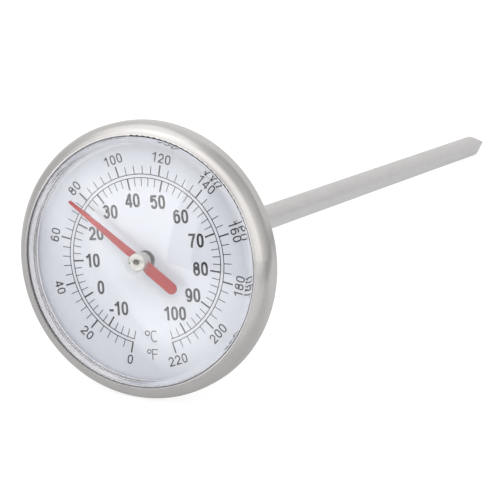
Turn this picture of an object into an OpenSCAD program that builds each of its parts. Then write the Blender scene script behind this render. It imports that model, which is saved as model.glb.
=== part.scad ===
// Dial stem thermometer for meat: a round bimetal dial head on a thin pointed probe.
// Frame: +Y runs down the probe to its point, the dial looks along -Y, +Z is 12 o'clock.
// The origin is on the probe's axis where it leaves the hexagon nut behind the head.
// All lengths are millimetres and all angles are degrees.

/* [Head] */
// Outside diameter of the polished bezel
bezel_d = 41; // [36:0.5:50]
// Radius of the window inside the bezel's lip
window_r = 18.4; // [15:0.1:22]
// Outside rounding of the bezel's front edge
bezel_round = 2.4; // [1.6:0.1:3]
// Thickness of the case and bezel sheet
sheet = 0.5; // [0.3:0.05:0.8]
// Distance from the nut's rear face to the face of the dial
dial_setback = 10; // [8:0.5:14]
// Depth of the case behind the dial face
case_depth = 4; // [3:0.25:8]
// Outside corner radius of the case back
case_corner = 3.2; // [1:0.1:4]
// Height of the raised bead pressed into the case back
bead_h = 0.4; // [0.1:0.05:0.6]

/* [Crystal] */
// Height of the crystal's crown in front of the dial face
crown_h = 4.5; // [3.6:0.1:6]
// Radius of curvature of the crown
crown_R = 160; // [60:10:400]
// Radius of curvature of the hollow behind the crown
vault_R = 93; // [60:1:200]
// Rounding of the crystal's shoulder
shoulder_r = 1.07; // [0.6:0.01:2]
// Thickness of the crystal in the middle
crystal_t = 1.1; // [0.8:0.1:2]
// Thickness of the crystal's side wall
crystal_wall = 0.6; // [0.4:0.05:1.2]
// Thickness of the rim clamped under the lip
rim_t = 0.75; // [0.5:0.05:1.2]
// Thickness of the silicone gasket
gasket_t = 0.4; // [0.2:0.05:0.8]

/* [Dial and pointer] */
// Thickness of the dial plate
dial_t = 0.5; // [0.3:0.05:1]
// Radius of the hole in the middle of the dial
dial_hole_r = 1.45; // [1:0.05:2]
// Pointer angle at rest, anticlockwise from 12 o'clock as seen from the front
pointer_rest = 50; // [-165:1:165]
// Length of the needle from the shaft axis to its tip
needle_len = 14.2; // [10:0.1:16]
// Length of the counterweight tail from the shaft axis
tail_len = 7; // [4:0.1:10]
// Width of the tail
tail_w = 1.7; // [1:0.05:3]
// Width of the needle beside the hub
needle_root_w = 1.32; // [0.8:0.02:2]
// Width of the needle at its tip
needle_tip_w = 0.44; // [0.2:0.02:1]
// Thickness of the blade
blade_t = 0.25; // [0.1:0.05:0.5]
// Height of the hub's front above the dial face
hub_h = 3.1; // [2:0.05:3.5]
// Radius of the hub
hub_r = 1.38; // [0.8:0.05:2]
// Radius of the pointer shaft
shaft_r = 0.5; // [0.3:0.05:0.8]

/* [Probe] */
// Radius of the probe tube
stem_r = 2; // [1.5:0.05:3]
// Radius of the probe tube's bore
stem_bore_r = 1.6; // [1.2:0.05:2.6]
// Length of the straight probe tube in front of the nut
stem_len = 133.8; // [80:0.1:220]
// Length of the pointed end
point_len = 7.6; // [2:0.1:10]
// Rounding of the very tip
tip_round = 0.2; // [0.1:0.05:1]

/* [Nut and bearing] */
// Width of the calibration nut across its flats
nut_flats = 10; // [8:0.5:14]
// Radius of the nut's spigot, which the head turns on
spigot_r = 3.2; // [2.8:0.1:4]
// Radial running clearance of the turning parts
run_gap = 0.05; // [0.02:0.01:0.1]
// Thickness of the friction washer
washer_t = 0.4; // [0.2:0.05:0.8]
// Thickness of the retaining clip
clip_t = 0.5; // [0.3:0.05:0.8]

/* [Bimetal coil] */
// Start of the coil, measured down the probe
coil_start = 90; // [60:1:110]
// Number of full turns
coil_turns = 12; // [6:1:16]
// Advance of the strip for each turn
coil_pitch = 3.1; // [2:0.1:4]
// Width of the bimetal strip
strip_w = 2.3; // [1:0.1:3]
// Outside radius of the coil
coil_r = 1.3; // [1:0.05:1.6]
// Thickness of the bimetal strip
strip_t = 0.25; // [0.1:0.05:0.4]

/* [Hidden] */
$fn = 96;
bezel_r = bezel_d / 2;
case_r = bezel_r - sheet;
dial_y = -dial_setback;
back_y = dial_y + case_depth;
round_r = bezel_r - bezel_round;
skirt_end_y = dial_y + 0.8;
roll_r = bezel_round - sheet / 2;
lip_a = asin((round_r - window_r - sheet / 2) / roll_r);
spacer_t = 0.5;
rim_back_y = dial_y - spacer_t - gasket_t;
rim_front_y = rim_back_y - rim_t;
round_y = rim_back_y;
crown_y = dial_y - crown_h;
crystal_r = window_r - 0.05;
shoulder_x = crystal_r - shoulder_r;
shoulder_a = asin(shoulder_x / (crown_R - shoulder_r));
shoulder_y = crown_y + crown_R - (crown_R - shoulder_r) * cos(shoulder_a);
ring_r = case_r - sheet - 0.1;
support_r = 16.2;
hub_front_y = dial_y - hub_h;
blade_front_y = dial_y - 1.9;
blade_back_y = blade_front_y + blade_t;
rivet_r = 0.8;
clinch_t = 0.6;
shank_r = stem_r - 0.18;
neck_y = -1.2;
nut_front_y = back_y + run_gap + washer_t;
spigot_y = -8;
clip_y = back_y - sheet - 0.6;
tube_top_y = -8.4;
coil_end = coil_start + coil_turns * coil_pitch + strip_w;

// Turns a half section drawn as (radius, distance along Y) about the Y axis.
module spun(turn = 360) {
    rotate([-90, 0, 0]) rotate_extrude(angle = turn) children();
}

// A plain ring between two radii and two places along Y.
module ring(r_in, r_out, y_a, y_b) {
    spun() translate([r_in, y_a]) square([r_out - r_in, y_b - y_a]);
}

// A plate cut to a front-view outline, with its back at y and its front nearer the viewer.
module plate(y_back, thick) {
    translate([0, y_back, 0]) rotate([90, 0, 0]) linear_extrude(thick) children();
}

// Half section of a drawn cup: straight wall, rounded corner and flat back.
module cup_section(r, y_front, y_back, corner) {
    intersection() {
        union() {
            translate([0, y_front]) square([r, y_back - corner - y_front]);
            translate([0, y_front]) square([r - corner, y_back - y_front]);
            translate([r - corner, y_back - corner]) circle(corner);
        }
        translate([0, y_front]) square([r, y_back - y_front]);
    }
}

// Drawn steel case with a raised bead and a bearing hole in its back.
module case_cup() {
    color([0.72, 0.72, 0.73]) spun() difference() {
        union() {
            cup_section(case_r, rim_back_y, back_y, case_corner);
            translate([11.5, back_y + bead_h - 1.5]) circle(1.5);
        }
        translate([0, -1]) cup_section(case_r - sheet, rim_back_y, back_y - sheet + 1, case_corner - sheet);
        translate([11.5, back_y + bead_h - 1.5]) circle(1.5 - sheet);
        translate([0, back_y - 2]) square([spigot_r + run_gap, 4]);
    }
}

// Polished rim rolled over the crystal, with a straight skirt over the case.
module bezel_ring() {
    color([0.82, 0.80, 0.78]) spun() {
        intersection() {
            difference() {
                translate([round_r, round_y]) circle(bezel_round);
                translate([round_r, round_y]) circle(bezel_round - sheet);
            }
            translate([round_r, round_y]) polygon([
                [0, 0], [5, 0], [5, -5], [5 * sin(-lip_a), -5 * cos(lip_a)]
            ]);
        }
        translate([round_r - roll_r * sin(lip_a), round_y - roll_r * cos(lip_a)]) circle(sheet / 2, $fn = 48);
        translate([case_r, round_y]) square([sheet, skirt_end_y - round_y - 0.15]);
        translate([case_r, round_y]) square([sheet - 0.15, skirt_end_y - round_y]);
        translate([bezel_r - 0.15, skirt_end_y - 0.15]) circle(0.15, $fn = 32);
    }
}

// Half section of a shallow dome whose rounded shoulder runs into an upright wall.
module dome_section() {
    translate([0, crown_y + crown_R]) intersection() {
        circle(crown_R, $fn = 1440);
        polygon([
            [0, 0], [0, -2 * crown_R],
            [2 * crown_R * sin(shoulder_a + 0.05), -2 * crown_R * cos(shoulder_a + 0.05)]
        ]);
        translate([0, -2 * crown_R]) square([shoulder_x + 1, crown_R + shoulder_y - crown_y + 0.1]);
    }
    translate([shoulder_x, shoulder_y]) circle(shoulder_r);
    translate([0, shoulder_y]) square([crystal_r, rim_back_y - shoulder_y]);
}

// Clear moulded lens: a shallow crown, a rounded shoulder, a thin wall and a flat rim.
module crystal() {
    color([0.8, 0.88, 0.95, 0.35]) spun() difference() {
        union() {
            dome_section();
            translate([1, rim_front_y]) square([ring_r + 0.3 - 1, rim_t]);
        }
        intersection() {
            translate([0, crown_y + crystal_t + vault_R]) circle(vault_R, $fn = 1440);
            translate([0, crown_y]) square([crystal_r - crystal_wall, rim_back_y + 1 - crown_y]);
        }
    }
}

// Silicone ring that seals the crystal.
module crystal_gasket() {
    color([0.84, 0.84, 0.86]) ring(window_r - 0.6, ring_r, rim_back_y + 0.02, rim_back_y + gasket_t);
}

// Bright ring that holds the dial down.
module spacer_ring() {
    color([0.75, 0.75, 0.76]) ring(window_r - 0.3, ring_r, dial_y - spacer_t, dial_y);
}

// Printed dial plate.
module dial_plate() {
    color([0.88, 0.89, 0.93]) ring(dial_hole_r, ring_r, dial_y, dial_y + dial_t);
}

// Sleeve that carries the dial plate off the case back.
module dial_support() {
    color([0.6, 0.6, 0.6]) ring(support_r - 1, support_r, dial_y + dial_t, back_y - sheet);
}

// Hexagon calibration nut with a round neck and the spigot that the head turns on.
module hex_nut() {
    color([0.7, 0.7, 0.71]) difference() {
        union() {
            intersection() {
                rotate([-90, 0, 0]) translate([0, 0, nut_front_y]) cylinder(
                    r = nut_flats / sqrt(3), h = neck_y - nut_front_y, $fn = 6);
                spun() polygon([
                    [0, nut_front_y], [nut_flats / 2, nut_front_y],
                    [nut_flats / 2 + 1, nut_front_y + 0.6], [nut_flats / 2 + 1, neck_y - 0.6],
                    [nut_flats / 2, neck_y], [0, neck_y]
                ]);
            }
            spun() polygon([
                [0, neck_y - 1], [3.6, neck_y - 1], [3.6, neck_y + 0.5],
                [3.1, 0], [0, 0]
            ]);
            spun() translate([0, spigot_y]) square([spigot_r, nut_front_y - spigot_y + 1]);
        }
        spun() translate([0, -20]) square([shank_r + 0.02, 40]);
        spun() translate([spigot_r - 0.3, clip_y - clip_t]) square([2, clip_t]);
    }
}

// Fibre washer between the nut and the case back.
module friction_washer() {
    color([0.25, 0.22, 0.2]) ring(spigot_r + 0.1, 5, nut_front_y - washer_t, nut_front_y);
}

// Coned spring that presses the case back against the friction washer.
module disc_spring() {
    color([0.6, 0.6, 0.62]) spun() polygon([
        [spigot_r + 0.1, clip_y], [spigot_r + 0.1, clip_y + 0.25],
        [5.6, back_y - sheet - run_gap], [5.6, back_y - sheet - run_gap - 0.25]
    ]);
}

// Open clip snapped into the spigot's groove.
module retaining_clip() {
    color([0.45, 0.45, 0.47]) rotate([0, 110, 0]) spun(320)
        translate([spigot_r - 0.3, clip_y - clip_t]) square([1.5, clip_t]);
}

// Thin-walled probe tube with a reduced shank inside the nut.
module stem_tube() {
    color([0.76, 0.76, 0.77]) difference() {
        union() {
            ring(0, shank_r, tube_top_y, 1);
            ring(0, stem_r, 0, stem_len);
        }
        spun() translate([0, tube_top_y - 1]) square([stem_bore_r, stem_len - tube_top_y + 2]);
    }
}

// Solid pointed end pressed into the tube.
module tip_plug() {
    nose_y = stem_len + point_len - tip_round;
    slope = atan(stem_r / point_len);
    nose_x = tip_round * cos(slope);
    color([0.76, 0.76, 0.77]) spun() {
        translate([0, stem_len - 3]) square([stem_bore_r, 3]);
        polygon([
            [0, stem_len], [stem_r, stem_len],
            [nose_x, nose_y + tip_round * sin(slope)], [0, nose_y + tip_round * sin(slope)]
        ]);
        intersection() {
            translate([0, nose_y]) circle(tip_round, $fn = 48);
            translate([0, nose_y]) square([1, 1]);
        }
    }
}

// Guide bush for the pointer shaft, pressed into the tube.
module bush(y_a, y_b) {
    color([0.78, 0.64, 0.35]) ring(shaft_r + run_gap, stem_bore_r, y_a, y_b);
}

// Flanged bush at the top of the tube, behind the dial's hole.
module upper_bush() {
    color([0.42, 0.42, 0.43]) spun() translate([shaft_r + run_gap, tube_top_y - 0.4]) {
        square([stem_bore_r - shaft_r - run_gap, 3.4]);
        square([shank_r - shaft_r - run_gap, 0.4]);
    }
}

module middle_bush() {
    bush(38, 41);
}

module lower_bush() {
    bush(78, 81);
}

// Post on the tip plug that holds the coil's lower end still.
module coil_anchor() {
    color([0.5, 0.5, 0.52]) {
        ring(0, 0.6, coil_end - strip_w, stem_len - 3);
        translate([0, coil_end - strip_w + 0.3, -0.25]) cube([coil_r - 0.1, strip_w - 0.6, 0.5]);
    }
}

// Helical bimetal strip, four corners to each station along the helix.
module bimetal_coil() {
    steps = 16;
    n = coil_turns * steps;
    points = [for (i = [0:n], c = [0:3]) let (
        a = 360 * i / steps,
        r = (c == 0 || c == 3) ? coil_r - strip_t : coil_r,
        y = coil_start + coil_pitch * i / steps + (c < 2 ? 0 : strip_w)
    ) [r * cos(a), y, r * sin(a)]];
    sides = [for (i = [0:n - 1], c = [0:3]) [
        4 * i + 4 + c, 4 * i + 4 + (c + 1) % 4, 4 * i + (c + 1) % 4, 4 * i + c
    ]];
    ends = [[0, 1, 2, 3], [4 * n + 3, 4 * n + 2, 4 * n + 1, 4 * n]];
    color([0.72, 0.62, 0.45]) polyhedron(points, concat(sides, ends));
}

// Wire that carries the coil's turn up to the pointer.
module pointer_shaft() {
    color([0.7, 0.7, 0.7]) ring(0, shaft_r, hub_front_y + 0.06, coil_start + strip_w);
}

// Sleeve fixed on the shaft's lower end, with a tab to the coil's upper end.
module coil_ferrule() {
    color([0.55, 0.55, 0.57]) {
        ring(shaft_r, 0.85, coil_start - 1.5, coil_start + strip_w);
        translate([0.7, coil_start + 0.4, -0.2]) cube([0.25, strip_w - 0.8, 0.4]);
    }
}

// Turned hub with a bore for the shaft, a rivet spigot and a small punch mark.
module pointer_hub() {
    color([0.85, 0.84, 0.82]) difference() {
        spun() difference() {
            polygon([
                [0, hub_front_y], [hub_r - 0.12, hub_front_y], [hub_r, hub_front_y + 0.12],
                [hub_r, blade_front_y], [rivet_r, blade_front_y],
                [rivet_r, blade_back_y + clinch_t], [0, blade_back_y + clinch_t]
            ]);
            translate([0, hub_front_y - 1]) square([shaft_r, 4]);
        }
        translate([0.34 - hub_r, hub_front_y + 0.15, 0]) rotate([90, 0, 0])
            cylinder(r = 0.18, h = 1, $fn = 24);
    }
}

// Flat needle with a rounded counterweight tail.
module pointer_blade() {
    color([0.75, 0.2, 0.2]) rotate([0, -pointer_rest, 0]) plate(blade_back_y, blade_t) difference() {
        union() {
            polygon([
                [-needle_root_w / 2, 0], [needle_root_w / 2, 0],
                [needle_tip_w / 2, needle_len - needle_tip_w / 2],
                [-needle_tip_w / 2, needle_len - needle_tip_w / 2]
            ]);
            translate([0, needle_len - needle_tip_w / 2]) circle(needle_tip_w / 2, $fn = 24);
            translate([-tail_w / 2, -tail_len + tail_w / 2]) square([tail_w, tail_len - tail_w / 2]);
            translate([0, -tail_len + tail_w / 2]) circle(tail_w / 2, $fn = 48);
            circle(hub_r - 0.1, $fn = 48);
        }
        circle(rivet_r, $fn = 48);
    }
}

// Ring closed over the spigot, which clamps the blade to the hub.
module clinch_ring() {
    color([0.8, 0.8, 0.78]) ring(rivet_r, hub_r - 0.05, blade_back_y, blade_back_y + clinch_t);
}

case_cup();
bezel_ring();
crystal();
crystal_gasket();
spacer_ring();
dial_plate();
dial_support();
hex_nut();
friction_washer();
disc_spring();
retaining_clip();
stem_tube();
tip_plug();
upper_bush();
middle_bush();
lower_bush();
coil_anchor();
bimetal_coil();
pointer_shaft();
coil_ferrule();
pointer_hub();
pointer_blade();
clinch_ring();
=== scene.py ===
"""Pocket dial meat thermometer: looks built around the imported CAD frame."""

import math
from collections import namedtuple

import bmesh
import bpy
from mathutils import Matrix, Vector


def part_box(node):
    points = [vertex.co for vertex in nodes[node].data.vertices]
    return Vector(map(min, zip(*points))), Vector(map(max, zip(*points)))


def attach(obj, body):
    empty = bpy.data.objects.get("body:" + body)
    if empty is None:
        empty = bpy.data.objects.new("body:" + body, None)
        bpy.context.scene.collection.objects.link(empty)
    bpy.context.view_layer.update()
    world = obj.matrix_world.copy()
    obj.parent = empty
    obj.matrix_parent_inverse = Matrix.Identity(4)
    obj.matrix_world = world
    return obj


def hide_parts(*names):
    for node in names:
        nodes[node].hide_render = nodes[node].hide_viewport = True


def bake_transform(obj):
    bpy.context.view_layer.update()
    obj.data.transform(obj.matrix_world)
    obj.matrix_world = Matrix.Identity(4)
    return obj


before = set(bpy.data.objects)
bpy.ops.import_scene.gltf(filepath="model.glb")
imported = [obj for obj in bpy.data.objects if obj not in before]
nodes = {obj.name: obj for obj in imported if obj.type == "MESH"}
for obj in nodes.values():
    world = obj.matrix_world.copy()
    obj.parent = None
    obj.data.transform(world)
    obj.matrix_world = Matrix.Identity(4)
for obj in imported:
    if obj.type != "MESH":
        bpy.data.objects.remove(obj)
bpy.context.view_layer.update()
scene = bpy.context.scene
MM = 0.001

# ---------------------------------------------------------------- camera and stage
EYE = (0.14696, -0.28283, 0.04352)
EYE_RIGHT = (0.9043, 0.4198, -0.0776)
EYE_FORWARD = (-0.42675, 0.89369, -0.1386)
FOCAL_MM = 153.97
SENSOR_MM = 36
HEAD_ROLL = 8.55  # degrees that the head is rolled on the floor
STANDOFF = 0.03 * MM


def look(position, right, forward, lens):
    """A camera with no shift at a place in the frame, as the photograph's was."""
    back = -Vector(forward).normalized()
    side = (Vector(right) - back * Vector(right).dot(back)).normalized()
    data = bpy.data.cameras.new("camera")
    data.lens, data.sensor_width, data.clip_start = lens, SENSOR_MM, 0.01
    made = bpy.data.objects.new("camera", data)
    scene.collection.objects.link(made)
    turn = Matrix((side, back.cross(side), back)).transposed().to_4x4()
    made.matrix_world = Matrix.Translation(position) @ turn
    scene.camera = made


look(EYE, EYE_RIGHT, EYE_FORWARD, FOCAL_MM)
scene.view_settings.view_transform = "Standard"

# The thermometer lies on the edge of its bezel and the end of its tube.
bezel_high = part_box("bezel_ring")[1]
tube_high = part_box("stem_tube")[1]
tilt = math.atan((bezel_high.x - tube_high.x) / (tube_high.y - bezel_high.y))
floor_turn = Matrix.Rotation(math.radians(HEAD_ROLL), 4, "Y") @ Matrix.Rotation(tilt, 4, "X")
floor_up = (floor_turn @ Vector((0, 0, 1))).normalized()
floor_drop = bezel_high.x * math.cos(tilt) + bezel_high.y * math.sin(tilt) + STANDOFF


def link_mesh(name, bm, material):
    """An object of that name from a bmesh, which is freed."""
    mesh = bpy.data.meshes.new(name)
    bm.to_mesh(mesh)
    bm.free()
    mesh.materials.append(material)
    made = bpy.data.objects.new(name, mesh)
    scene.collection.objects.link(made)
    return made


class Tree:
    """Short calls that build one node tree."""

    def __init__(self, tree):
        self.tree = tree
        tree.nodes.clear()

    def add(self, kind, **settings):
        node = self.tree.nodes.new(kind)
        for key, value in settings.items():
            setattr(node, key, value)
        return node

    def feed(self, socket, value):
        if isinstance(value, bpy.types.NodeSocket):
            self.tree.links.new(value, socket)
        elif isinstance(value, tuple) and len(value) == 3 and socket.type == "RGBA":
            socket.default_value = (*value, 1)
        else:
            socket.default_value = value

    def feed_named(self, node, **values):
        """Feed sockets by name, with _ for a space in it."""
        for key, value in values.items():
            self.feed(node.inputs[key.replace("_", " ")], value)

    def math(self, operation, *values):
        node = self.add("ShaderNodeMath", operation=operation)
        for socket, value in zip(node.inputs, values):
            self.feed(socket, value)
        return node.outputs[0]

    def times(self, first, *others):
        for other in others:
            first = self.math("MULTIPLY", first, other)
        return first

    def plus(self, first, *others):
        for other in others:
            first = self.math("ADD", first, other)
        return first

    def minus(self, a, b):
        return self.math("SUBTRACT", a, b)

    def remap(self, value, low, high, to_low=0.0, to_high=1.0, kind="LINEAR"):
        node = self.add("ShaderNodeMapRange", interpolation_type=kind)
        self.feed_named(
            node, Value=value, From_Min=low, From_Max=high, To_Min=to_low, To_Max=to_high
        )
        return node.outputs["Result"]

    def ramp(self, value, low, high, to_low=0.0, to_high=1.0):
        """A remap that eases in and out."""
        return self.remap(value, low, high, to_low, to_high, "SMOOTHSTEP")

    def mix(self, share, a, b):
        node = self.add("ShaderNodeMix", data_type="RGBA")
        for socket, value in zip((node.inputs[0], node.inputs[6], node.inputs[7]), (share, a, b)):
            self.feed(socket, value)
        return node.outputs[2]

    def vector(self, x, y, z):
        node = self.add("ShaderNodeCombineXYZ")
        for socket, value in zip(node.inputs, (x, y, z)):
            self.feed(socket, value)
        return node.outputs[0]

    def split(self, vector):
        node = self.add("ShaderNodeSeparateXYZ")
        self.feed(node.inputs[0], vector)
        return node.outputs

    def light_path(self, name):
        return self.add("ShaderNodeLightPath").outputs[name]

    def noise(self, vector, scale, detail=2.0, rough=0.5, w=None):
        node = self.add("ShaderNodeTexNoise", noise_dimensions="3D" if w is None else "4D")
        if w is not None:
            self.feed(node.inputs["W"], w)
        self.feed_named(node, Vector=vector, Scale=scale, Detail=detail, Roughness=rough)
        return node.outputs["Fac"]

    def bump(self, height, strength, distance):
        node = self.add("ShaderNodeBump")
        self.feed_named(node, Height=height, Strength=strength, Distance=distance)
        return node.outputs[0]


# ---------------------------------------------------------------- materials
def shades(colour, spread):
    """A darker and a lighter shade of a colour."""
    low = tuple(c * (1 - spread) for c in colour)
    high = tuple(min(1.0, c * (1 + spread)) for c in colour)
    return low, high


class Finish(Tree):
    """One material on a Principled shader."""

    def __init__(self, name, **values):
        self.material = bpy.data.materials.new(name)
        self.material.use_nodes = True
        super().__init__(self.material.node_tree)
        self.out = self.add("ShaderNodeOutputMaterial")
        self.shader = self.add("ShaderNodeBsdfPrincipled")
        self.feed(self.out.inputs["Surface"], self.shader.outputs[0])
        self.place = self.add("ShaderNodeTexCoord").outputs["Object"]
        for key, value in values.items():
            self.set(key.replace("_", " ").title().replace("Ior", "IOR"), value)

    def set(self, name, value):
        self.feed(self.shader.inputs[name], value)

    def around(self):
        """(radius from the Y axis, place along it, and the two parts of the direction round it)."""
        x, y, z = self.split(self.place)
        r = self.math("SQRT", self.plus(self.times(x, x), self.times(z, z)))
        r = self.math("MAXIMUM", r, 1e-6)
        return r, y, self.math("DIVIDE", x, r), self.math("DIVIDE", z, r)

    def turned(self):
        """Run the anisotropic highlight round the Y axis."""
        tangent = self.add("ShaderNodeTangent", direction_type="RADIAL", axis="Y")
        self.set("Tangent", tangent.outputs[0])

    def grain(self, colour, streak, cloud, spread, rough, depth):
        """Colour, roughness and relief from fine streaks over soft clouds."""
        both = self.plus(self.times(streak, 0.65), self.times(cloud, 0.35))
        self.set("Base Color", self.mix(self.remap(both, 0.32, 0.68), *shades(colour, spread)))
        self.set("Roughness", self.remap(both, 0.3, 0.7, rough[1], rough[0]))
        self.set("Normal", self.bump(streak, 0.35, depth * MM))

    def recolour(self, where, colour):
        """Take a plain colour where the share is 1."""
        so_far = self.shader.inputs["Base Color"].links[0].from_socket
        self.set("Base Color", self.mix(where, so_far, colour))


# The rolled rim's section: all within reach of its centre at (r, y) is the inside of the roll,
# which is matt, with a pale colour painted on as painted light. Its lip, at radius lip, gets a
# darker colour: painted shade.
Roll = namedtuple("Roll", "r y reach lip")
ROLL_PAINTED_LIGHT = (0.70, 0.69, 0.72)
LIP_PAINTED_SHADE = (0.31, 0.305, 0.315)


def spun_metal(
    name, colour, rough, pitch=0.09, spread=0.09, depth=0.006, anisotropic=0.5, roll=None
):
    """Metal with the fine marks of turning or polishing round the Y axis, pitch mm apart."""
    m = Finish(name, metallic=1.0, anisotropic=anisotropic, anisotropic_rotation=0.25)
    m.turned()
    r, y, c, s = m.around()
    per_mark = 1 / (pitch * MM)
    length = 1.2  # larger for shorter marks
    spot = m.vector(m.times(c, length), m.times(s, length), m.times(r, per_mark))
    lines = m.noise(spot, 1.0, 3.0, 0.6, w=m.times(y, per_mark))
    m.grain(colour, lines, m.noise(m.place, 260.0, 3.0), spread, rough, depth)
    if roll:
        off_r, off_y = m.minus(r, roll.r), m.minus(y, roll.y)
        from_roll = m.plus(m.math("POWER", off_r, 2.0), m.math("POWER", off_y, 2.0))
        outside = m.math("GREATER_THAN", from_roll, roll.reach**2)
        m.set("Metallic", outside)
        # painted light: the inside of the roll takes a pale matt colour where the hollow gets
        # little light
        m.recolour(m.minus(1.0, outside), ROLL_PAINTED_LIGHT)
        # painted shade: a darker colour along the lip's edge, which also holds back its highlight
        m.recolour(m.ramp(r, roll.lip + 0.32 * MM, roll.lip + 0.22 * MM), LIP_PAINTED_SHADE)
    return m.material


def drawn_metal(name, colour, rough):
    """Metal with faint marks along the Y axis, as on drawn tube."""
    m = Finish(name, metallic=1.0, anisotropic=0.4)
    m.turned()
    _, y, c, s = m.around()
    spot = m.vector(m.times(c, 9.0), m.times(y, 90.0), m.times(s, 9.0))
    lines = m.noise(spot, 2.4, 4.0, 0.62)
    m.grain(colour, lines, m.noise(m.place, 320.0, 4.0, 0.6), 0.06, rough, 0.005)
    return m.material


def lens_plastic(name):
    """Clear moulded plastic that lets the lamps through to the dial."""
    m = Finish(name, ior=1.49, transmission_weight=1.0, roughness=0.0)
    ripple = m.noise(m.place, 55.0, 1.0, 0.4)
    m.set("Base Color", m.mix(ripple, (0.985, 0.99, 1.0), (0.995, 0.997, 1.0)))
    m.set("Normal", m.bump(ripple, 0.15, 0.02 * MM))
    path = m.add("ShaderNodeLightPath").outputs
    choose = m.add("ShaderNodeMixShader")
    m.feed(choose.inputs[0], m.math("MAXIMUM", path["Is Shadow Ray"], path["Is Diffuse Ray"]))
    m.feed(choose.inputs[1], m.shader.outputs[0])
    m.feed(choose.inputs[2], m.add("ShaderNodeBsdfTransparent").outputs[0])
    m.feed(m.out.inputs["Surface"], choose.outputs[0])
    return m.material


def coated(name, colour, rough, spread, grain, depth, **more):
    """Lacquer, enamel, ink, rubber or fibre: fine relief, faint clouding of the colour."""
    m = Finish(name, **more)
    fine = m.noise(m.place, grain, 3.0, 0.55)
    cloud = m.noise(m.place, 140.0, 3.0, 0.5)
    m.set("Base Color", m.mix(m.remap(cloud, 0.35, 0.65), *shades(colour, spread)))
    m.set("Roughness", m.remap(fine, 0.3, 0.7, *rough))
    m.set("Normal", m.bump(fine, 0.3, depth * MM))
    return m.material


BRASS = (0.72, 0.52, 0.24)
STEEL = (0.5, 0.5, 0.5)
ROLL_R = 2.4 * MM
rim_roll = Roll(
    r=bezel_high.x - ROLL_R,
    y=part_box("case_cup")[0].y,
    reach=ROLL_R - 0.3 * MM,
    lip=bezel_high.x - 2.1 * MM,
)
looks = {
    "bezel_ring": spun_metal(
        "bezel_satin", (0.655, 0.645, 0.64), (0.22, 0.31), 0.11, 0.05,
        anisotropic=0.35, roll=rim_roll,
    ),
    "case_cup": spun_metal("case_satin", (0.62, 0.61, 0.60), (0.24, 0.36), 0.14, 0.07),
    "crystal": lens_plastic("lens_clear"),
    "crystal_gasket": coated(
        "gasket_silicone", (0.69, 0.695, 0.72), (0.45, 0.6), 0.03, 2500.0, 0.005
    ),
    "spacer_ring": spun_metal(
        "ring_turned", (0.86, 0.86, 0.88), (0.42, 0.52), 0.08, 0.04, anisotropic=0.0
    ),
    "dial_plate": coated("dial_enamel", (0.51, 0.529, 0.582), (0.32, 0.45), 0.012, 900.0, 0.004),
    "dial_support": spun_metal("support_turned", (0.70, 0.70, 0.72), (0.3, 0.42), 0.08, 0.06),
    "hex_nut": spun_metal("nut_turned", (0.60, 0.595, 0.59), (0.22, 0.34), 0.12, 0.08),
    "friction_washer": coated(
        "washer_fibre", (0.10, 0.065, 0.045), (0.6, 0.8), 0.25, 1800.0, 0.03
    ),
    "disc_spring": spun_metal("spring_blued", (0.30, 0.30, 0.33), (0.3, 0.42), 0.1, 0.1),
    "retaining_clip": spun_metal("clip_blued", (0.26, 0.26, 0.28), (0.32, 0.45), 0.1, 0.1),
    "stem_tube": drawn_metal("tube_satin", (0.675, 0.668, 0.675), (0.30, 0.42)),
    "tip_plug": spun_metal("tip_ground", (0.62, 0.61, 0.62), (0.28, 0.4), 0.07, 0.07),
    # painted shade: the upper bush, seen through the dial's hole, is near-black so the hole looks
    # dark
    "upper_bush": spun_metal("bush_upper_painted_shade", (0.07, 0.072, 0.068), (0.4, 0.55), 0.07, 0.1),
    "middle_bush": spun_metal("bush_middle_brass", BRASS, (0.22, 0.34), 0.07, 0.08),
    "lower_bush": spun_metal("bush_lower_brass", BRASS, (0.22, 0.34), 0.07, 0.08),
    "coil_anchor": spun_metal("anchor_turned", STEEL, (0.3, 0.4), 0.07, 0.08),
    # painted shade: the shaft is dark, so its end sunk in the hub shows as a dark dot
    "pointer_shaft": drawn_metal("shaft_painted_shade", (0.15, 0.145, 0.14), (0.3, 0.42)),
    "coil_ferrule": spun_metal("ferrule_turned", STEEL, (0.3, 0.4), 0.07, 0.08),
    "pointer_hub": spun_metal(
        "hub_nickel", (0.60, 0.585, 0.55), (0.42, 0.52), 0.05, 0.06, anisotropic=0.0
    ),
    "pointer_blade": coated(
        "pointer_lacquer", (0.295, 0.006, 0.007), (0.5, 0.62), 0.06, 1500.0, 0.006,
        specular_ior_level=0.05,
    ),
    "clinch_ring": spun_metal("clinch_nickel", (0.6, 0.58, 0.54), (0.25, 0.36), 0.05, 0.06),
}
for name, material in looks.items():
    for material_slot in nodes[name].material_slots:
        material_slot.material = material


# ---------------------------------------------------------------- bimetal coil
def coil_metals(inner, thick):
    """Steel inside and a yellower alloy outside, drawn along the strip."""
    m = Finish("coil_two_metals", metallic=1.0, anisotropic=0.4)
    r, y, c, s = m.around()
    spot = m.vector(m.times(c, 6.0), m.times(y, 9000.0), m.times(s, 6.0))
    lines = m.noise(spot, 1.0, 3.0, 0.6)
    layer = m.ramp(r, inner + thick * 0.4, inner + thick * 0.6)
    streak = m.remap(lines, 0.3, 0.7)
    warm = m.mix(streak, (0.58, 0.47, 0.30), (0.66, 0.55, 0.37))
    cool = m.mix(streak, (0.46, 0.45, 0.44), (0.56, 0.55, 0.54))
    m.set("Base Color", m.mix(layer, cool, warm))
    m.set("Roughness", m.remap(lines, 0.3, 0.7, 0.42, 0.28))
    m.set("Normal", m.bump(lines, 0.3, 0.004 * MM))
    return m.material


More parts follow.
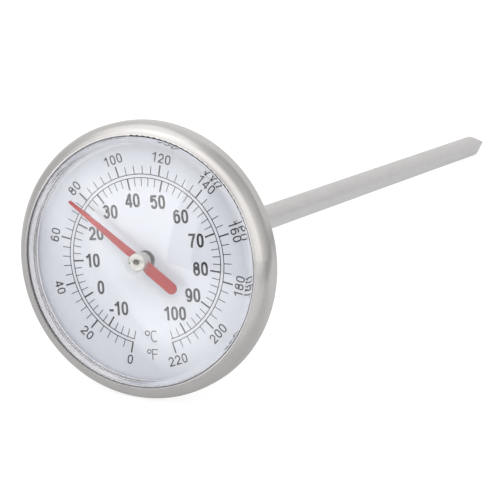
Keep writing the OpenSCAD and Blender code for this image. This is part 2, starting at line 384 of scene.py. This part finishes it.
def bimetal_coil():
    """Strip wound on edge into a helix, which twists as the pointer turns."""
    low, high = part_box("bimetal_coil")
    turns, steps = 12, 48
    strip, thick, ease = 2.3 * MM, 0.25 * MM, 0.05 * MM
    pitch = (high.y - low.y - strip) / turns
    outer = high.x
    inner = outer - thick
    section = [
        (inner + ease, 0), (outer - ease, 0), (outer, ease), (outer, strip - ease),
        (outer - ease, strip), (inner + ease, strip), (inner, strip - ease), (inner, ease),
    ]
    bm = bmesh.new()
    loops = []
    for i in range(turns * steps + 1):
        a = 2 * math.pi * i / steps
        c, s, rise = math.cos(a), math.sin(a), low.y + pitch * i / steps
        loops.append([bm.verts.new((r * c, rise + h, r * s)) for r, h in section])
    n = len(section)
    for one, two in zip(loops, loops[1:]):
        for j in range(n):
            bm.faces.new((one[j], one[(j + 1) % n], two[(j + 1) % n], two[j]))
    bm.faces.new(loops[0][::-1])
    bm.faces.new(loops[-1])
    bmesh.ops.recalc_face_normals(bm, faces=bm.faces)
    piece = link_mesh("coil_strip", bm, coil_metals(inner, thick))
    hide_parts("bimetal_coil")
    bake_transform(piece)


bimetal_coil()

# ---------------------------------------------------------------- dial print
DIAL_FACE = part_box("dial_plate")[0].y
INK_FRONT, INK_BACK = DIAL_FACE - 0.02 * MM, DIAL_FACE + 0.01 * MM
NARROWER = {"-": 0.62, "1": 0.9, "o": 0.72}  # signs narrower than the rest
SHARPEST_MITRE = 0.45
OVAL_STEP, SWEEP_STEP = 7.5, 2.5  # degrees between points
TOP_F, TURN_PER_F = 110, 1.5  # the reading at the top, and degrees of turn for each degree F
LOW_F, HIGH_F = 0, 220


def oval(cx, cy, rx, ry, start, end, power=2.0):
    """Points on an ellipse, or on a squarer oval where power is over 2, angles in degrees."""
    n = max(3, round(abs(end - start) / OVAL_STEP))
    points = []
    for i in range(n + 1):
        a = math.radians(start + (end - start) * i / n)
        c, s = math.cos(a), math.sin(a)
        points.append((
            cx + rx * math.copysign(abs(c) ** (2 / power), c),
            cy + ry * math.copysign(abs(s) ** (2 / power), s),
        ))
    return points


def loop(cx, cy, rx, ry, power=2.3):
    """A closed oval."""
    return oval(cx, cy, rx, ry, 0, 360, power)[:-1] + ["closed"]


def glyph(sign, wide, pen):
    """Centre lines of one sign in a box wide by 1, drawn with a pen of that width."""
    left, right, foot, top = pen / 2, wide - pen / 2, pen / 2, 1 - pen / 2
    cx, rx = wide / 2, (wide - pen) / 2
    if sign == "0":
        return [loop(cx, 0.5, rx, (top - foot) / 2, 2.5)]
    if sign == "1":
        stem = wide * 0.66
        return [
            [(stem, 0), (stem, 1)],
            [(stem, top), (stem - 0.28 * wide, top - 0.13), (wide * 0.08, top - 0.2)],
        ]
    if sign == "2":
        return [
            oval(cx, top - 0.27, rx, 0.27, 172, -28)
            + [(cx + 0.30 * rx, 0.40), (cx - 0.55 * rx, 0.22), (left, foot + 0.02)],
            [(0, foot), (wide, foot)],
        ]
    if sign == "3":
        return [
            oval(cx - 0.01, top - 0.215, rx * 0.92, 0.215, 165, -85)
            + [(cx - 0.12 * wide, top - 0.43)],
            [(cx - 0.12 * wide, foot + 0.53)] + oval(cx, foot + 0.265, rx, 0.265, 85, -165),
        ]
    if sign == "4":
        stem = wide * 0.76
        return [
            [(stem, 0), (stem, 1)],
            [(stem - pen * 0.2, 1 - pen * 0.25), (left, 0.27)],
            [(0, 0.27), (wide * 1.04, 0.27)],
        ]
    if sign == "5":
        return [
            [(wide * 0.94, top), (wide * 0.22, top), (wide * 0.12, 0.50)],
            [(wide * 0.12, 0.50)] + oval(cx, foot + 0.295, rx, 0.295, 130, -162),
        ]
    if sign in "69":
        made = [
            loop(cx, foot + 0.27, rx, 0.27),
            oval(cx, top - 0.30, rx, 0.30, 38, 180) + [(left, foot + 0.27)],
        ]
        if sign == "6":
            return made
        return [[p if p == "closed" else (wide - p[0], 1 - p[1]) for p in line] for line in made]
    if sign == "7":
        leg = [(wide * 0.62, 0.60), (wide * 0.42, 0.28), (wide * 0.34, 0)]
        return [[(0, top), (right, top)] + leg]
    if sign == "8":
        return [
            loop(cx, top - 0.215, rx * 0.88, 0.215, 2.15),
            loop(cx, foot + 0.265, rx, 0.265, 2.15),
        ]
    if sign == "-":
        return [[(0, 0.36), (wide, 0.36)]]
    if sign == "C":
        return [oval(cx, 0.5, rx, (top - foot) / 2, 48, 312, 2.2)]
    if sign == "F":
        return [
            [(left, 0), (left, 1)],
            [(left, top), (wide, top)],
            [(left, 0.53), (wide * 0.86, 0.53)],
        ]
    return [loop(cx, top - cx + pen / 2, rx, rx, 2.0)]  # the degree ring


def ribbon(points, pen):
    """The two edges of a line of that width, mitred at its corners."""
    closed = points[-1] == "closed"
    points = [Vector(p) for p in points if p != "closed"]
    edges = []
    last = len(points) - 1
    for i, p in enumerate(points):
        before = points[i - 1] if i or closed else p - (points[1] - p)
        after = points[(i + 1) % len(points)] if i < last or closed else p + (p - points[i - 1])
        one, two = (p - before).normalized(), (after - p).normalized()
        across = Vector((-one.y - two.y, one.x + two.x)).normalized()
        reach = pen / 2 / max(SHARPEST_MITRE, across.dot(Vector((-one.y, one.x))))
        edges.append((p + across * reach, p - across * reach))
    if closed:
        edges.append(edges[0])
    return edges


def printed(name, lines, material):
    """Ink proud of the dial face. lines holds (points in mm from the dial's centre, pen)."""
    bm = bmesh.new()
    for points, pen in lines:
        rows = [
            [bm.verts.new((p.x * MM, y, p.y * MM)) for p in pair for y in (INK_FRONT, INK_BACK)]
            for pair in ribbon(points, pen)
        ]
        for a, b in zip(rows, rows[1:]):
            for i, j in ((0, 2), (2, 3), (3, 1), (1, 0)):
                bm.faces.new((a[i], a[j], b[j], b[i]))
        if points[-1] == "closed":
            bmesh.ops.remove_doubles(bm, verts=rows[0] + rows[-1], dist=1e-9)
        else:
            for end in (rows[0], rows[-1]):
                bm.faces.new((end[0], end[2], end[3], end[1]))
    bmesh.ops.recalc_face_normals(bm, faces=bm.faces)
    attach(link_mesh(name, bm, material), "head")


def on_dial(radius, degrees):
    """A point at that radius, at degrees clockwise from the top."""
    a = math.radians(degrees)
    return Vector((radius * math.sin(a), radius * math.cos(a)))


def word(text, centre, face, turn=0.0):
    """Lines of a word, centred on a point and turned clockwise by turn degrees."""
    widths = [face.wide * NARROWER.get(sign, 1.0) for sign in text]
    at = -(sum(widths) + face.gap * (len(text) - 1)) / 2
    spin = Matrix.Rotation(math.radians(-turn), 2)

    def placed(p):
        return centre + spin @ (Vector((p[0] + at, p[1] - 0.5)) * face.height)

    made = []
    for sign, wide in zip(text, widths):
        for line in glyph(sign, wide, face.pen):
            points = [p if p == "closed" else placed(p) for p in line]
            made.append((points, face.pen * face.height))
        at += wide + face.gap
    return made


def fahrenheit(degrees):
    """Angle of a Fahrenheit reading, clockwise from the top."""
    return TURN_PER_F * (degrees - TOP_F)


def celsius(degrees):
    """Angle of a Celsius reading, clockwise from the top."""
    return fahrenheit(degrees * 1.8 + 32)


def sweep(radius, start, end):
    """Points on an arc about the dial's centre."""
    n = round(abs(end - start) / SWEEP_STEP)
    return [on_dial(radius, start + (end - start) * i / n) for i in range(n + 1)]


def marks(angle_of, readings, every, near, long, short):
    """Scale marks from a ring. long, at every so many degrees, and short are (end, width)."""
    made = []
    for t in readings:
        far, wide = long if t % every == 0 else short
        made.append(([on_dial(near, angle_of(t)), on_dial(far, angle_of(t))], wide))
    return made


# Sizes on the dial are in mm. A typeface's width, gap and pen are shares of its height.
Typeface = namedtuple("Typeface", "height wide gap pen")
TYPE_F = Typeface(1.40, 0.625, 0.18, 0.135)
TYPE_C = Typeface(2.06, 0.545, 0.085, 0.17)
TYPE_UNIT_C = Typeface(1.75, 0.66, 0.06, 0.085)
TYPE_UNIT_F = Typeface(1.60, 0.62, 0.06, 0.085)
RING_F, RING_C, HAIR = 12.70, 12.17, 0.12
NUMBERS_F, NUMBERS_C = 15.37, 8.95
UNIT_C, UNIT_F = Vector((-0.15, -11.4)), Vector((-0.15, -14.1))
PAST_END = 0.25  # degrees that the rings run past the last marks

first, last = fahrenheit(LOW_F) - PAST_END, fahrenheit(HIGH_F) + PAST_END
arcs = [(sweep(r, first, last), HAIR) for r in (RING_F, RING_C)]
marks_f = marks(
    fahrenheit, range(LOW_F, HIGH_F + 1, 4), 20, RING_F - HAIR / 2,
    long=(14.33, 0.22), short=(13.92, 0.11),
)
marks_c = marks(
    celsius, range(-18, 105, 2), 10, RING_C + HAIR / 2,
    long=(10.49, 0.24), short=(10.92, 0.11),
)
numbers_f = []
for t in range(LOW_F, HIGH_F + 1, 20):
    angle = fahrenheit(t)
    upright = angle if abs(angle) < 90 else angle - 180
    numbers_f += word(str(t), on_dial(NUMBERS_F, angle), TYPE_F, upright)
numbers_c = []
for t in range(-10, 101, 10):
    numbers_c += word(str(t), on_dial(NUMBERS_C, celsius(t)), TYPE_C)
units = word("oC", UNIT_C, TYPE_UNIT_C) + word("oF", UNIT_F, TYPE_UNIT_F)

ink = coated(
    "dial_ink", (0.022, 0.022, 0.026), (0.45, 0.6), 0.12, 1600.0, 0.004, specular_ior_level=0.15
)
printed("scale_rings", arcs, ink)
printed("fahrenheit_marks", marks_f, ink)
printed("celsius_marks", marks_c, ink)
printed("fahrenheit_numbers", numbers_f, ink)
printed("celsius_numbers", numbers_c, ink)
printed("unit_signs", units, ink)


# ---------------------------------------------------------------- floor and light
FLOOR_REACH = 2.0  # m from its middle to each edge
FLOOR_GREY = (0.23, 0.23, 0.23)
SEEN_WHITE = 0.85  # the floor's least strength to the camera
TENT_WHITE = 1.1  # the tent's
DIAL_EYE = (9 * MM, -14.2 * MM, 0)  # on the lens, where the floor's pattern is seen from


def turn_of(tree, x, y):
    """How far a direction is turned to the right of the dial's own."""
    return tree.math("ARCTAN2", x, tree.times(y, -1.0))


def soft_box(tree, x, y, z):
    """A big soft light front left of the dial and the dark gap in it, by direction from there."""

    def by(angle, low, high):
        return tree.ramp(angle, math.radians(low), math.radians(high))

    turn = turn_of(tree, x, y)
    rise = tree.math("ARCSINE", z)
    slant = tree.minus(turn, tree.times(rise, 0.38))
    ledge = tree.plus(rise, tree.times(turn, 0.376))
    gap = tree.times(
        by(slant, -18.0, -17.2), by(turn, 10, 4), by(ledge, -16.0, -15.2), by(rise, 24, 10)
    )
    foot = tree.times(by(rise, -14, -26), by(turn, -14, -28))
    climb = tree.remap(rise, math.radians(-10), math.radians(2), 1.5, 2.5)
    strength = tree.plus(climb, foot)
    bright = tree.times(by(turn, -46, -40), by(turn, -2, -12), by(rise, 14, 7), strength)
    return bright, gap


def floor():
    """A wide pale floor that touches the bezel and the probe and carries on the tent's light."""
    m = Finish("floor_pale", base_color=FLOOR_GREY, roughness=0.9, emission_color=(1, 1, 1))
    spot = m.add("ShaderNodeVectorMath", operation="SUBTRACT")
    m.feed(spot.inputs[0], m.add("ShaderNodeNewGeometry").outputs["Position"])
    spot.inputs[1].default_value = DIAL_EYE
    way = m.add("ShaderNodeVectorMath", operation="NORMALIZE")
    m.feed(way.inputs[0], spot.outputs[0])
    bright, gap = soft_box(m, *m.split(way.outputs[0]))
    along, depth, _ = m.split(spot.outputs[0])
    # painted shade: the soft box's glow on the floor fades out near the head
    bright = m.times(bright, m.ramp(depth, -10 * MM, -27 * MM))
    # dimmer to the right behind the head
    right = m.times(m.ramp(along, 80 * MM, 150 * MM), 0.36)
    plain = m.minus(m.ramp(depth, 10 * MM, 50 * MM, 0.34, 0.48), right)
    # a brighter glow painted into the floor, to the right in front of the head, as light off a
    # white card
    card_glow = m.times(m.ramp(depth, -6 * MM, -20 * MM), m.ramp(along, 5 * MM, 14 * MM), 0.15)
    glow = m.times(m.plus(bright, m.plus(plain, card_glow)), m.minus(1.0, gap))
    seen = m.times(m.light_path("Is Camera Ray"), SEEN_WHITE)
    m.set("Emission Strength", m.math("MAXIMUM", glow, seen))
    bm = bmesh.new()
    bmesh.ops.create_grid(bm, x_segments=2, y_segments=2, size=FLOOR_REACH)
    made = link_mesh("floor", bm, m.material)
    made.matrix_world = Matrix.Translation(-floor_up * floor_drop) @ floor_turn


floor()


def studio():
    """A soft white tent with a soft box let into it."""
    world = bpy.data.worlds.new("studio")
    scene.world = world
    world.use_nodes = True
    w = Tree(world.node_tree)
    x, y, z = w.split(w.add("ShaderNodeTexCoord").outputs["Generated"])
    bright, gap = soft_box(w, x, y, z)
    above = w.times(w.ramp(z, 0.38, 0.74, 0.0, 0.2), w.ramp(x, 0.1, 0.5, 1.0, 0.0))
    behind = w.ramp(y, 0.2, 0.6, 0.0, 0.25)
    turn = w.ramp(turn_of(w, x, y), math.radians(5), math.radians(14))
    front = w.times(w.math("MAXIMUM", turn, w.ramp(z, 0.32, 0.45)), w.ramp(y, -0.35, -0.62))
    side = w.times(w.ramp(x, 0.72, 0.9), w.ramp(y, 0.15, -0.15))
    fill = w.plus(w.times(front, 0.68), w.times(side, 0.2))
    level = w.plus(0.60, w.math("MAXIMUM", above, behind), w.plus(bright, fill))
    # an unlit strip of the tent, to the right behind the head
    strip = w.times(w.ramp(y, 0.3, 0.5), w.ramp(y, 0.88, 0.76), w.ramp(x, 0.1, 0.4))
    level = w.times(level, w.remap(strip, 0, 1, 1.0, 0.62), w.remap(gap, 0, 1, 1.0, 0.2))
    seen = w.times(w.light_path("Is Camera Ray"), TENT_WHITE)
    back = w.add("ShaderNodeBackground")
    w.feed_named(back, Color=(1.0, 0.985, 0.97), Strength=w.math("MAXIMUM", level, seen))
    w.feed(w.add("ShaderNodeOutputWorld").inputs[0], back.outputs[0])


studio()


def lamp(name, place, size, power, mirrored=True):
    """A square soft box aimed at the origin, which may be kept out of reflections."""
    data = bpy.data.lights.new(name, "AREA")
    data.shape, data.size, data.size_y, data.energy = "RECTANGLE", size, size, power
    made = bpy.data.objects.new(name, data)
    scene.collection.objects.link(made)
    aim = (-Vector(place)).to_track_quat("-Z", "Y")
    made.matrix_world = Matrix.Translation(place) @ aim.to_matrix().to_4x4()
    made.visible_glossy = made.visible_transmission = mirrored


lamp("top_box", (-0.2, -0.2, 0.75), 0.7, 0.7)
lamp("fill_box", (0.32, -0.45, 0.38), 0.5, 2.2, mirrored=False)
